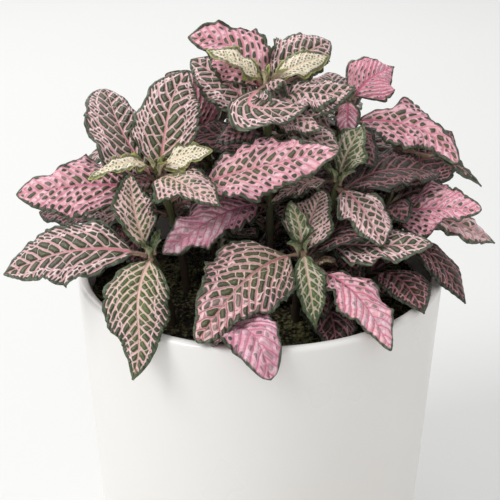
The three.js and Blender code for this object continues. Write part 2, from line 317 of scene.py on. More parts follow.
def new_tree(name, floats=(), **others):
    """A nodes tree with these inputs. Returns it with its inputs as flows, by name."""
    tree = bpy.data.node_groups.new(name, "GeometryNodeTree")
    tree.is_modifier = True
    tree.interface.new_socket("Shape", in_out="OUTPUT", socket_type="NodeSocketGeometry")
    for key in floats:
        tree.interface.new_socket(key, in_out="INPUT", socket_type="NodeSocketFloat")
    for key, kind in others.items():
        tree.interface.new_socket(key, in_out="INPUT", socket_type="NodeSocket" + kind)
    entry = tree.nodes.new("NodeGroupInput")
    return tree, {s.name: Flow(tree, s) for s in entry.outputs if s.name}


def end_tree(tree, shapes, material):
    """Every tree ends by joining its shapes, making instances real and setting the material."""
    whole = material.make("GeometryNodeJoinGeometry")
    for shape in shapes:
        tree.links.new(shape.socket, whole.socket.node.inputs[0])
    real = whole.make("GeometryNodeRealizeInstances", inputs={0: whole})
    dressed = whole.make("GeometryNodeSetMaterial", inputs={"Geometry": real, "Material": material})
    tree.links.new(dressed.socket, tree.nodes.new("NodeGroupOutput").inputs[0])


def strewn(ground, tops, density, seed, shape, sizes):
    """Bits lying on the top faces of the ground, turned and sized at random."""
    settings = {"distribute_method": "RANDOM"}
    inputs = {"Mesh": ground, "Selection": tops, "Density": density, "Seed": seed}
    points = ground.make("GeometryNodeDistributePointsOnFaces", settings, inputs)
    settings = {"data_type": "FLOAT_VECTOR"}
    turn = ground.make("FunctionNodeRandomValue", settings, {"Max": FULL_TURNS})
    inputs = {"Min": sizes[0], "Max": sizes[1], "Seed": seed + 1}
    size = ground.make("FunctionNodeRandomValue", settings, inputs)
    inputs = {"Points": points, "Instance": shape, "Rotation": turn, "Scale": size}
    return ground.make("GeometryNodeInstanceOnPoints", inputs=inputs)


def soil_tree():
    """The soil's block with crumbs, grains and chips strewn over its top."""
    tree, given = new_tree("crumbs", Shape="Geometry", finish="Material")
    ground = given["Shape"]
    tops = ground.make("GeometryNodeInputNormal").part(2) > FACING_UP
    ball = ground.make("GeometryNodeMeshIcoSphere", inputs={"Radius": 1.0, "Subdivisions": 1})
    ball = ball.make("GeometryNodeSetShadeSmooth", inputs={"Geometry": ball, "Shade Smooth": True})
    place = ground.make("GeometryNodeInputPosition")
    dent = place.scaled(place.noise(1.3) * 1.4 - 0.7)
    lump = ball.make("GeometryNodeSetPosition", inputs={"Geometry": ball, "Offset": dent})
    chip = ground.make("GeometryNodeMeshCube", inputs={"Size": (2.0, 2.0, 2.0)})
    crumbs = strewn(ground, tops, CRUMBS_PER_M2, 3, lump, CRUMB_SIZES)
    grains = strewn(ground, tops, GRAINS_PER_M2, 8, ball, GRAIN_SIZES)
    chips = strewn(ground, tops, CHIPS_PER_M2, 5, chip, CHIP_SIZES)
    end_tree(tree, (ground, crumbs, grains, chips), given["finish"])
    return tree


def soil_height(x, y):
    """Height of the soil's smooth surface at a place."""
    outwards = min(1.0, Vector((x, y)).length / SOIL_RADIUS)
    return SOIL_EDGE + SOIL_MOUND * cos(outwards * pi / 2)


def lumps(x, y):
    """Unevenness of the soil at a place."""
    place = Vector((x, y, 0))
    broad = LUMP_HEIGHT * noise.noise(place * LUMPS_PER_M)
    return broad + CLOD_HEIGHT * noise.noise(place * CLODS_PER_M)


def soil_block(rings=36, facets=150):
    """The soil's body: a flat underside, straight sides and an uneven top."""
    bottom = SOIL_LOW.z
    points = [(0, 0, bottom)]
    foot = pot_radius(bottom) - WALL - GAP
    for radius, top in [(foot, False)] + [(SOIL_RADIUS * i / rings, True) for i in range(rings, 0, -1)]:
        for k in range(facets):
            x, y = radius * cos(2 * pi * k / facets), radius * sin(2 * pi * k / facets)
            points.append((x, y, soil_height(x, y) + lumps(x, y) if top else bottom))
    points.append((0, 0, soil_height(0, 0)))
    faces = [(0, 1 + (k + 1) % facets, 1 + k) for k in range(facets)]
    for ring in range(rings):
        low, high = 1 + ring * facets, 1 + (ring + 1) * facets
        for k in range(facets):
            k2 = (k + 1) % facets
            faces.append((low + k, low + k2, high + k2, high + k))
    last = 1 + rings * facets
    faces += [(last + k, last + (k + 1) % facets, len(points) - 1) for k in range(facets)]
    mesh = bpy.data.meshes.new("soil_block")
    mesh.from_pydata(points, [], faces)
    mesh.shade_smooth()
    return mesh


def soil_roughness(place):
    return 0.85 + place.noise(300.0) * 0.15


def soil_relief(place):
    return place.noise(500.0, 4.0)


peat = new_material(
    "potting_soil", soil_colour, soil_roughness, soil_relief, 1.2 * MM, Specular_IOR_Level=0.3
)
soil = grow("potting_soil", soil_tree(), {"finish": peat}, soil_block())
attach(soil, "root")
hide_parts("soil")


# ---- Stems ------------------------------------------------------------------
# Soft green stems, tinged brown towards the soil and covered in short pale hairs. Each
# swells a little at its joints, where a pair of leaves is set.

STEM_RADIUS = 1.5 * MM
STEM_TIP_RADIUS = 0.8 * MM
STEM_RINGS = 6  # rings of the frame's rods: the last one narrows to the tip
STEM_LEAN = 1.6  # a stem rises straight at first and leans more and more
STEM_ROUND_END = 0.3 * MM  # how far the rounded tip stands up
JOINT_SPACING = 13 * MM
JOINT_SWELL, JOINT_REACH = 0.28 * MM, 2.2 * MM  # how much and how far up and down it swells
BELOW_ROD = 0.1 * MM  # how much thinner than the frame's rod a stem is between its joints
ROD_STEP = 1.6 * MM  # between one ring of the rod's mesh and the next
HAIRS_PER_M2 = 400000
HAIR_LENGTH, HAIR_RADIUS = 0.7 * MM, 0.05 * MM


def stem_ends(node):
    """The middles of the lowest and highest ring of a rod of the frame."""
    points = [v.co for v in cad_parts[node].data.vertices]
    ends = []
    for level in (min(p.z for p in points), max(p.z for p in points)):
        ring = [p for p in points if abs(p.z - level) < 0.01 * MM]
        low = Vector([min(p[i] for p in ring) for i in range(3)])
        high = Vector([max(p[i] for p in ring) for i in range(3)])
        ends.append((low + high) / 2)
    return ends


def stem_point(ends, height):
    """The stem's middle at a height."""
    foot, tip = ends
    lean = max(0.0, (height - SOIL_EDGE) / (tip.z - SOIL_EDGE)) ** STEM_LEAN
    x, y = foot.xy.lerp(tip.xy, lean)
    return Vector((x, y, height))


def stem_radius(ends, height):
    """The radius of the frame's rod at a height: even up to its last ring, then less."""
    foot, tip = ends
    left = min(1.0, (tip.z - height) * STEM_RINGS / (tip.z - foot.z))
    return STEM_TIP_RADIUS + (STEM_RADIUS - STEM_TIP_RADIUS) * left


def stem_tree():
    """A rod with hairs that stand out from its skin."""
    tree, given = new_tree("stem", Shape="Geometry", finish="Material")
    skin = given["Shape"]
    inputs = {"Mesh": skin, "Density": HAIRS_PER_M2, "Seed": 2}
    points = skin.make("GeometryNodeDistributePointsOnFaces", {}, inputs)
    turns = Flow(tree, points.socket.node.outputs["Rotation"])
    hair = {"Vertices": 3, "Radius Top": 0.0, "Radius Bottom": HAIR_RADIUS, "Depth": HAIR_LENGTH}
    cone = skin.make("GeometryNodeMeshCone", {"fill_type": "NONE"}, hair)
    inputs = {"Points": points, "Instance": cone, "Rotation": turns}
    hairs = skin.make("GeometryNodeInstanceOnPoints", inputs=inputs)
    end_tree(tree, (skin, hairs), given["finish"])
    return tree


def stem_rod(ends, sides=14):
    """A round rod from foot to tip, slightly thicker at each joint, with a rounded end."""
    foot, tip = ends
    steps = max(12, int((tip.z - foot.z) / ROD_STEP))
    points, faces = [tuple(foot)], []
    for i in range(steps + 1):
        height = foot.z + (tip.z - foot.z) * i / steps
        middle = stem_point(ends, height)
        joint = abs(((tip.z - height) / JOINT_SPACING + 0.5) % 1 - 0.5) * JOINT_SPACING
        swell = JOINT_SWELL * max(0.0, 1 - joint / JOINT_REACH)
        radius = stem_radius(ends, height) - BELOW_ROD + swell
        for k in range(sides):
            turn = 2 * pi * k / sides
            points.append((middle.x + radius * cos(turn), middle.y + radius * sin(turn), height))
    points.append((tip.x, tip.y, tip.z + STEM_ROUND_END))
    for i in range(steps):
        low = 1 + i * sides
        for k in range(sides):
            k2 = (k + 1) % sides
            faces.append((low + k, low + k2, low + sides + k2, low + sides + k))
    top = 1 + steps * sides
    faces += [(0, 1 + (k + 1) % sides, 1 + k) for k in range(sides)]
    faces += [(top + k, top + (k + 1) % sides, len(points) - 1) for k in range(sides)]
    mesh = bpy.data.meshes.new("rod")
    mesh.from_pydata(points, [], faces)
    mesh.shade_smooth()
    return mesh


# The stems' own green and brown, both made darker all over as painted shade from the leaves above.
STEM_GREEN = colour(104, 112, 66)
STEM_BROWN = colour(60, 48, 36)
BROWN_UP_TO, GREEN_FROM = 130 * MM, 176 * MM


def stem_colour(place):
    up = (place.part(2) + place.noise(70.0) * 20 * MM).ramp(BROWN_UP_TO, GREEN_FROM)
    return up.blend(STEM_BROWN, STEM_GREEN)


def stem_roughness(place):
    return 0.5 + place.noise(200.0) * 0.2


def stem_relief(place):
    return place.noise(900.0)


stem_skin = new_material("stem_skin", stem_colour, stem_roughness, stem_relief, 0.2 * MM)
stems = {}  # the ends of each stem, by its name
hairy = stem_tree()
for node in sorted(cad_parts):
    if node.startswith("stem_"):
        ends = stem_ends(node)
        stems[node[len("stem_"):]] = ends
        rod = grow("hairy_" + node, hairy, {"finish": stem_skin}, stem_rod(ends))
        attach(rod, "root")
        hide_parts(node)


# ---- Leaves -----------------------------------------------------------------
# Soft oval leaves in pairs, each on a short stalk. The blade is quilted between a net of
# coloured veins, and its waved edge is finely notched.
# A leaf leaves its stem at a height. Its heading is counted from +X towards +Y, and its
# rise is the slope of the straight line from base to tip, both in degrees.
#   roll   tips the blade about that line, left side up
#   bow    how far it arches up, and sway how far it bends left, as shares of the length
#   peak   where along the leaf both are greatest
#   fold   how steeply both halves rise from the midrib, and curl how they bend back
#   frill  height of the waves along the edges, waves of them on each side
#   taper  above 1 draws the tip out to a point, below 1 rounds it
#   pinch  how much narrower the blade suddenly gets towards its tip, as a share
#   hook   how far the tip bends aside to the left, as a share of the length
# The frame's leaves are made from the same list.

LEAVES = {
    "crown": {
        "back_left": dict(
            height=178, heading=145, rise=34, length=34, width=23, roll=-40, sway=-0.12, hook=0.1,
            pinch=0.2, finish="flushed",
        ),
        "back_right": dict(height=180, heading=44, rise=22, length=32, width=20, roll=35, sway=0.05),
        "young_left": dict(
            height=183, heading=180, rise=32, length=22, width=9, roll=-30, fold=30, finish="young",
        ),
        "young_right": dict(
            height=183, heading=21, rise=19, length=23, width=9, roll=40, fold=20, finish="young",
        ),
        "front": dict(
            height=180.5, heading=-48, rise=-13, length=22, width=12, roll=-5, bow=0.2, sway=-0.85,
        ),
        "right": dict(
            height=169.5, heading=-8, rise=27, length=31, width=17, roll=36, taper=0.9, stalk=0.2,
        ),
        "left": dict(height=171, heading=146, rise=28, length=34, width=18, roll=-35),
        "low_right": dict(
            height=165, heading=-35, rise=2, length=28, width=14, roll=20, taper=0.9, stalk=0.25,
        ),
        "low_left": dict(
            height=141, heading=-142, rise=-8, length=44, width=20, roll=-15, finish="flushed",
        ),
    },
    "back_right": {
        "up": dict(
            height=173.5, heading=29, rise=30, length=20, width=16, roll=40, sway=0.08, taper=1.1,
            finish="flushed",
        ),
        "strip": dict(height=174, heading=-95, rise=-32, length=17, width=9, finish="flushed"),
        "long": dict(
            height=166, heading=-12, rise=-8, length=40, width=20, roll=26, hook=-0.22, taper=0.5,
            pinch=0.3, finish="flushed",
        ),
        "tail": dict(
            height=159, heading=-10, rise=-15, length=50, width=3.6, roll=40, bow=0.2, peak=0.6,
            taper=0.7, stalk=0.6,
        ),
    },
    "left": {
        "up": dict(
            height=156, heading=70, rise=61, length=36, width=23, roll=15, hook=-0.1, taper=0.75,
            stalk=0.06,
        ),
        "back": dict(height=151, heading=131, rise=43, length=40, width=26, sway=0.16, taper=0.5),
        "young_left": dict(
            height=158, heading=-147, rise=4, length=24, width=7, roll=-20, bow=0.18, finish="young",
        ),
        "young_right": dict(
            height=158, heading=-11, rise=24, length=20, width=9, roll=40, finish="young",
        ),
        "front": dict(
            height=155, heading=-51, rise=0, length=32, width=19, roll=6, sway=-0.08, taper=0.9,
        ),
        "low": dict(height=140, heading=55, rise=2, length=20, width=16, roll=20),
        "long_left": dict(
            height=149, heading=-175, rise=1, length=48, width=25, roll=-40, pinch=0.15, stalk=0.2,
            finish="flushed",
        ),
        "long_right": dict(
            height=146, heading=-20, rise=23, length=64, width=23, roll=40, bow=0.07, pinch=0.15,
            stalk=0.24, finish="flushed",
        ),
    },
    "low_left": {
        "up": dict(height=137.6, heading=122, rise=64, length=26, width=13.5, sway=0.12),
        "long_left": dict(
            height=136, heading=177, rise=-9, length=49, width=21, roll=-40, sway=-0.05, taper=0.8,
        ),
        "over_rim": dict(
            height=136, heading=-90, rise=-44, length=41, width=23, sway=-0.09, hook=-0.12, taper=0.9,
            pinch=0.25, stalk=0.04,
        ),
    },
    "front": {
        "up": dict(height=137, heading=120, rise=66, length=16, width=9, finish="fresh"),
        "down": dict(
            height=136.6, heading=-79, rise=-43, length=27, width=10, sway=-0.02, taper=1, stalk=0.07,
            finish="fresh",
        ),
        "back": dict(height=133, heading=60, rise=54, length=24, width=17, finish="shaded"),
        "big": dict(
            height=135.3, heading=-136, rise=-19, length=48, width=31, roll=-22, sway=-0.06,
            taper=0.55, pinch=0.35,
        ),
        "right": dict(
            height=130, heading=-47, rise=-21, length=42, width=20, sway=0.06, pinch=0.25, stalk=0.2,
            finish="flushed",
        ),
    },
    "low_front": {
        "over_rim": dict(
            height=119.7, heading=-60, rise=-14, length=36, width=21, roll=12, bow=0.27, sway=0.02,
            peak=0.71, taper=0.5, finish="flushed",
        ),
    },
    "middle": {
        "left": dict(height=153, heading=-165, rise=-15, length=24, width=15, taper=1, finish="shaded"),
        "up": dict(
            height=153, heading=40, rise=59, length=21, width=14, roll=10, taper=1.1, finish="fresh",
        ),
        "right": dict(height=151, heading=-57, rise=-25, length=28, width=18),
        "low_right": dict(
            height=133, heading=-27, rise=11, length=38, width=20, roll=20, bow=0.04, sway=-0.08,
        ),
    },
    "right": {
        "long": dict(
            height=138.6, heading=-27, rise=14, length=34, width=24, roll=27, bow=0.05, taper=0.5,
            pinch=0.35, finish="flushed",
        ),
        "back": dict(
            height=146, heading=44, rise=25, length=34, width=24, roll=35, taper=0.8, finish="shaded",
        ),
        "tail": dict(
            height=136, heading=3, rise=-13, length=40, width=11, roll=30, bow=0.18, taper=0.9,
            stalk=0.35,
        ),
        "low": dict(
            height=131, heading=-25, rise=-31, length=37, width=18, sway=0.1, taper=0.95, stalk=0.25,
            finish="shaded",
        ),
        "lowest": dict(
            height=118, heading=-64, rise=2, length=35, width=18, sway=0.06, taper=0.95, stalk=0.15,
            finish="shaded",
        ),
    },
    "back_left": {
        "up": dict(
            height=159.5, heading=180, rise=64, length=26, width=16, roll=-75, sway=-0.15,
            finish="flushed",
        ),
        "left": dict(height=148, heading=160, rise=6, length=38, width=22),
        "back": dict(height=157, heading=105, rise=12, length=44, width=24),
        "low_left": dict(height=129, heading=150, rise=0, length=50, width=25),
    },
    "rear": {
        "left": dict(height=151, heading=135, rise=14, length=40, width=23, finish="flushed"),
        "right": dict(height=150, heading=45, rise=8, length=44, width=24),
        "middle": dict(height=143, heading=88, rise=-15, length=46, width=25, bow=0.18),
        "low_right": dict(height=133, heading=15, rise=5, length=50, width=25, finish="flushed"),
        "low_left": dict(height=126, heading=120, rise=-2, length=44, width=24, finish="shaded"),
    },
}

PLAIN = dict(
    roll=0, bow=0.12, sway=0, peak=0.44, hook=0, fold=20, curl=44, frill=1, waves=3,
    taper=0.68, pinch=0, stalk=0.1, finish="nerved", bloom=0, fresh=0, dusk=0,
)
STALK_HALF, TIP_HALF = 0.85, 0.3  # half widths of the stalk, in millimetres
STALK_THICK, BLADE_THICK = 1.3, 0.6
WIDEST_AT, SHOULDER = 0.44, 0.72
LOBE, LOBE_SPACING = 1.1, 3.4  # height and spacing of the edge's lobes, in millimetres
FULL_LOBES = 18.0  # width in millimetres from which a leaf's lobes are of full height
UNEVEN = 0.34  # how far the edge runs in and out in broad waves, as a share of the width
RIPPLE = 11.0  # how far the edge waves up and down, in millimetres
HOOK_FROM = 0.6  # share of the length from where a tip bends aside
PINCH = (0.56, 0.7)  # shares of the length between which a pinched blade narrows
ANGLES = ("fold", "curl")  # in degrees here, in radians in the tree
LEAF_SIZES = (
    "length", "width", "bow", "sway", "peak", "hook", "fold", "curl", "frill", "waves",
    "taper", "pinch", "stalk", "seed", "bloom", "fresh", "dusk",
)
BEND = 0.09  # how fast the side veins bend towards the tip, for each millimetre outwards
VEINS_A_LEAF = 8.8  # side veins in the length of a middling leaf
VEIN_SPACING = (2.8, 4.6)  # the closest and the widest they stand, in millimetres
QUILT = 0.6  # how far the blade swells up between two side veins, in millimetres


def vein_order(along, out, size, side, seed, grain=1.0):
    """Counts the side veins at a place, with the slope of the count and the veins' spacing.

    Side veins leave the midrib at about 45 degrees and bend towards the tip.
    """
    slope = out * BEND + 1.0
    narrowest, widest = VEIN_SPACING
    inputs = {0: size / VEINS_A_LEAF, 1: narrowest, 2: widest}
    spacing = size.make("ShaderNodeClamp", inputs=inputs) * grain
    order = (along - out - out**2.0 * (BEND / 2)) / spacing + side * 0.45 + seed
    return order, slope, spacing


def half_width(leaf, share, side, spot, lobe_at):
    """Half the width at a share of the length: the stalk's, or the blade's. Also its swell.

    The blade's edge runs in and out twice: in broad waves, and in lobes of 3 to 4 mm with
    sharp notches between.
    """
    stalk = share.mix(STALK_HALF, TIP_HALF)
    blade_share = share.maths("MAXIMUM", (share - leaf["stalk"]) / (1.0 - leaf["stalk"]), 0.0001)
    widest = share.maths("LOGARITHM", 0.5, WIDEST_AT)
    swell = share.maths("MAXIMUM", share.maths("SINE", blade_share**widest * pi), 0.0)
    blade = leaf["width"] * 0.5 * swell ** (blade_share < WIDEST_AT).mix(leaf["taper"], SHOULDER)
    blade *= 1.0 - leaf["pinch"] * share.ramp(*PINCH)
    broad = (spot.noise(0.11, 1.0) - 0.5) * leaf["width"] * UNEVEN
    lobe = abs(share.maths("SINE", lobe_at * pi)) ** 0.5 - 0.75
    fine = (spot.noise(0.8, 1.0) - 0.5) * 0.9
    small = share.maths("MINIMUM", leaf["width"] / FULL_LOBES, 1.0)
    notch = (broad + (lobe * LOBE * spot.noise(0.16, 0.0).ramp(0.2, 0.6) + fine) * small) * swell
    notch *= share.maths("MINIMUM", leaf["frill"] * 2.0, 1.0)
    return share.maths("MAXIMUM", stalk, blade + notch * (share > leaf["stalk"])), swell


def leaf_tree():
    """A slab whose every point is moved to its place on the leaf, in millimetres."""
    counts = {"stations": "Int", "spans": "Int", "finish": "Material"}
    tree, leaf = new_tree("leaf", LEAF_SIZES, **counts)
    start = leaf["length"]
    counts = {"Vertices X": leaf["stations"], "Vertices Y": leaf["spans"], "Vertices Z": 2}
    slab = start.make("GeometryNodeMeshCube", inputs={"Size": (1.0, 2.0, 2.0), **counts})
    place = start.make("GeometryNodeInputPosition")
    share, across, face = place.part(0) + 0.5, place.part(1), place.part(2)
    out, side = abs(across), across.maths("SIGN", across)
    spot = start.join(share * leaf["length"], side * 40.0, leaf["seed"] * 400.0)
    lobe_at = share * leaf["length"] / LOBE_SPACING + spot.noise(0.2, 1.0) * 3.0 + side * 0.2
    half, swell = half_width(leaf, share, side, spot, lobe_at)

    # The midrib arches over and bends sideways.
    power = start.maths("LOGARITHM", 0.5, leaf["peak"])

    def rib(at):
        """The midrib's place at a share of the length."""
        bulge = start.maths("SINE", at**power * pi)
        tipwards = start.maths("MAXIMUM", at - HOOK_FROM, 0.0) / (1 - HOOK_FROM)
        aside = leaf["sway"] * bulge + leaf["hook"] * tipwards * tipwards
        return start.join(at, aside, leaf["bow"] * bulge).scaled(leaf["length"])

    ahead, behind = start.maths("MINIMUM", share + 0.01, 1.0), start.maths("MAXIMUM", share - 0.01, 0.0)
    along = start.vector("NORMALIZE", start.vector("SUBTRACT", rib(ahead), rib(behind)))
    left = start.vector("NORMALIZE", start.vector("CROSS_PRODUCT", (0.0, 0.0, 1.0), along))
    up = start.vector("CROSS_PRODUCT", along, left)
    arch = leaf["sway"] * leaf["sway"] + leaf["bow"] * leaf["bow"]
    length = leaf["length"] * (arch * (pi**2 / 2) + 1.0) ** 0.5  # along the bent midrib

    # Both halves rise from the midrib, bend back, and wave at the edge. The blade is
    # quilted between its side veins.
    slope = leaf["fold"] - leaf["curl"] * out
    chord = leaf["fold"] - leaf["curl"] * out * 0.5
    reach = half * out
    turns = leaf["waves"] * share * 2 * pi + (side < 0.0) * 2.0
    wave = leaf["frill"] * start.maths("SINE", turns) * out**2.0
    ripple = (spot.noise(0.16, 1.0) - 0.5) * RIPPLE + start.maths("SINE", lobe_at * pi) * 0.6
    ripple *= out**2.5 * leaf["frill"]
    order = vein_order(share * length, reach, length, side > 0.0, leaf["seed"])[0]
    quilt = abs(start.maths("SINE", order * pi)) * QUILT * (out * 5.0).ramp(0.0, 1.0)
    lift = (wave + ripple) * start.maths("SINE", share * pi) + quilt * swell
    thin = start.maths("MINIMUM", share / leaf["stalk"], 1.0)
    thick = thin.mix(STALK_THICK, BLADE_THICK) * (1.0 - out**2.0 * 0.8) ** 0.5

    sideways = side * reach * start.maths("COSINE", chord)
    sideways -= side * face * thick * start.maths("SINE", slope) * 0.5
    upwards = reach * start.maths("SINE", chord) + lift
    upwards += face * thick * start.maths("COSINE", slope) * 0.5
    point = start.vector("ADD", rib(share), left.scaled(sideways))
    point = start.vector("ADD", point, up.scaled(upwards))

    # What the finish needs to know at each point, in millimetres.
    marks = {name: leaf[name] for name in ("seed", "bloom", "fresh", "dusk")}
    marks.update(along=share * length, aside=side * reach, inwards=half - reach, size=length)
    marks.update(face=face, past=(share - leaf["stalk"]) * leaf["length"])
    shape = slab
    for name, value in marks.items():
        inputs = {"Geometry": shape, "Name": name, "Value": value}
        shape = start.make("GeometryNodeStoreNamedAttribute", {"data_type": "FLOAT"}, inputs)
    faces = abs(start.make("GeometryNodeInputNormal").part(2)) > 0.5
    inputs = {"Geometry": shape, "Selection": faces, "Shade Smooth": True}
    shape = start.make("GeometryNodeSetShadeSmooth", inputs=inputs)
    shape = start.make("GeometryNodeSetPosition", inputs={"Geometry": shape, "Position": point})
    end_tree(tree, [shape], leaf["finish"])
    return tree


SLANT = 2.0  # how far the islands' ends lean to either side, as a share of their width
ISLAND, SMALL_ISLAND, TINY_ISLAND = 0.85, 0.65, 0.5  # their lengths, as shares of the spacing
ROUNDNESS = 1.1  # how rounded the islands' corners are, in millimetres
LOOPS_AT = 0.58  # share of the half width where loops join the side veins' ends
# Half widths in millimetres: of the midrib at its base and tip, and of a side vein at its
# base and end.
MIDRIB_HALF, SIDE_VEIN_HALF, LOOP_HALF = (0.8, 0.2), (0.42, 0.2), 0.12
FULL_GRAIN = 0.9  # above this grain the outer islands are tiny ones, in two rows

STALK_TINT = colour(150, 122, 104)
FRESH_GREEN, FRESH_VEIN = colour(104, 128, 56), colour(234, 214, 186)
WHITE_PINK = colour(252, 216, 226)
# The near-black green of painted shade.
PAINTED_SHADE_GREEN = colour(24, 24, 18)


def darker(tone):
    """Half as bright a colour."""
    return (*(c * 0.5 for c in tone[:3]), 1.0)


def vein_net(place, net, thick, loss, grain):
    """Where a place lies in the net of veins, as flows by name, in millimetres."""
    names = ("along", "aside", "inwards", "size", "seed", "face", "past", "bloom", "fresh", "dusk")
    m = {n: place.make("ShaderNodeAttribute", {"attribute_name": n}, out=2) for n in names}
    along, inwards, size, seed = m["along"], m["inwards"], m["size"], m["seed"]
    off = abs(m["aside"])
    side = m["aside"] > 0.0
    spot = place.join(along, m["aside"], seed * 50.0)
    drift = spot.noise(0.22, 2.0) - 0.5
    share = along / size
    outwards = off / (off + inwards + 0.01)
    patch = spot.noise(0.09, 1.0)
    m["bloom"] *= (share + patch * 0.9 - 0.45).ramp(0.1, 0.7)
    m["fresh"] *= (share * 0.8 + outwards * 0.4 + patch * 0.5).ramp(1.1, 0.45)

    # Between two side veins lies a row of islands. Past the loops that join the veins'
    # ends they are smaller.
    order, slope, spacing = vein_order(along + drift * 2.6, off, size, side, seed, grain)
    onwards = (along + place.maths("LOGARITHM", slope, e) / BEND) / sqrt(2)
    row = spacing / (slope**2.0 + 1.0) ** 0.5
    beside = (0.5 - abs(place.maths("FRACT", order) - 0.5)) * row
    shift = side * 17.0 + seed * 31.0  # no two rows alike

    def islands(rows, length):
        """Distance in from the edges of the islands, and a chance value of each."""
        number = place.maths("FLOOR", order * rows)
        within = order * rows - number
        lean = (within - 0.5) * (spot.noise(0.3) - 0.5) * SLANT
        run = (onwards + drift * 3.0 + lean * row) / length
        spread = {"Scale": 1.0, "Randomness": 0.75, "W": run + number * 7.3 + shift}
        cell = {"voronoi_dimensions": "1D"}
        edge = place.make("ShaderNodeTexVoronoi", {**cell, "feature": "DISTANCE_TO_EDGE"}, spread)
        middle = place.make("ShaderNodeTexVoronoi", {**cell, "feature": "F1"}, spread)
        chance = Flow(place.tree, middle.socket.node.outputs["Color"]).part(0)
        beside_it = (0.5 - abs(within - 0.5)) * row / rows
        return place.maths("SMOOTH_MIN", edge * length, beside_it, ROUNDNESS), chance

    wide, wide_chance = islands(1.0, spacing * ISLAND)
    if grain > FULL_GRAIN:
        small, small_chance = islands(2.0, spacing * TINY_ISLAND)
    else:
        small, small_chance = islands(1.0, spacing * SMALL_ISLAND)
    loop = outwards + drift * 0.3 - LOOPS_AT
    ends = loop > 0.0
    chance = ends.mix(wide_chance, small_chance)
    web = ends.mix(wide, small)

    # Veins of every order take their own width off the islands.
    spread = net + (chance * chance * loss + m["bloom"] * 0.5) * row * 0.36
    main = beside - outwards.mix(*SIDE_VEIN_HALF) * thick
    loops = abs(loop) * (off + inwards) - spread - LOOP_HALF
    middle = off - share.mix(*MIDRIB_HALF)
    inland = place.maths("SMOOTH_MIN", web - spread, main, 0.35)
    inland = place.maths("SMOOTH_MIN", inland, loops, 0.3)
    inland = place.maths("SMOOTH_MIN", inland, middle, 0.3) + inwards.ramp(1.5, 0.5) * 0.5
    core = place.maths("MINIMUM", beside, off - (1.0 - share) * 0.3)
    m.update(inland=inland, web=web, core=core, chance=chance, spot=spot, share=share)
    m.update(off=off, outwards=outwards)
    return m


def blade_colour(m, veins, strong, inner, outer, rim, under, rim_width):
    """The colour at a place of the net: veins, islands, border, underside and stalk."""
    inland, spot, fresh, bloom = m["inland"], m["spot"], m["fresh"], m["bloom"]
    mottle = spot.noise(1.1, 3.0)
    # Pale blotches on the veins, more on leaves that bloom: partly the veins' own whiter pink, partly
    # painted sheen.
    pale = (spot.noise(0.22, 2.0) + mottle * 0.4).ramp(0.6, 0.85) * (bloom * 0.6 + 0.25)
    vein = pale.blend(veins, WHITE_PINK)
    redness = m["core"].ramp(0.45, 0.0) * 0.6 + mottle.ramp(0.45, 0.3) * 0.2
    redness += m["web"].ramp(0.3, 0.0) * bloom.ramp(0.1, 0.6) * 0.4
    redness += m["off"].ramp(0.9, 0.3) * m["share"].ramp(0.8, 0.0) * 0.6
    vein = spot.maths("MINIMUM", redness, 1.0).blend(vein, strong)
    vein = fresh.blend(vein, FRESH_VEIN)

    green = (m["outwards"] + spot.noise(0.15) - 0.5).ramp(0.1, 0.8).blend(inner, outer)
    green = (m["chance"] * 0.5).blend(green, darker(outer))
    green = fresh.blend(green, FRESH_GREEN)
    # Painted sheen: the islands are lightened towards the veins' colour at their swollen middles and in
    # soft patches.
    green = (inland.ramp(0.2, 1.2) * 0.1 + mottle.ramp(0.5, 0.75) * 0.12).blend(green, veins)
    # Fine pale specks over the islands: partly the leaf's own pale hairs, partly painted glints on
    # them.
    cell = {"voronoi_dimensions": "3D", "feature": "F1"}
    specks = spot.make("ShaderNodeTexVoronoi", cell, {"Vector": spot, "Scale": 1.1})
    green = (specks.ramp(0.16, 0.08) * 0.35).blend(green, veins)

    flushed = (bloom + m["chance"] * 0.8 - 0.7).ramp(0.0, 1.0) * 0.9
    tone = (inland.ramp(-0.1, 0.16) * (1.0 - flushed)).blend(vein, green)
    wander = (spot.noise(0.35, 3.0) - 0.32) * rim_width * 2.5
    edging = (m["inwards"] - wander).ramp(rim_width * 0.8, rim_width * 0.1)
    border = spot.noise(0.6, 2.0).ramp(0.35, 0.65).blend(rim, darker(rim))
    tone = edging.blend(tone, border)
    tone = (m["face"].ramp(0.2, -0.2) * 0.65).blend(tone, under)
    tone = m["past"].ramp(1.5, -1.5).blend(tone, STALK_TINT)
    # Painted shade: the whole leaf darkened towards a near-black green.
    return (m["dusk"] * 0.75).blend(tone, PAINTED_SHADE_GREEN)


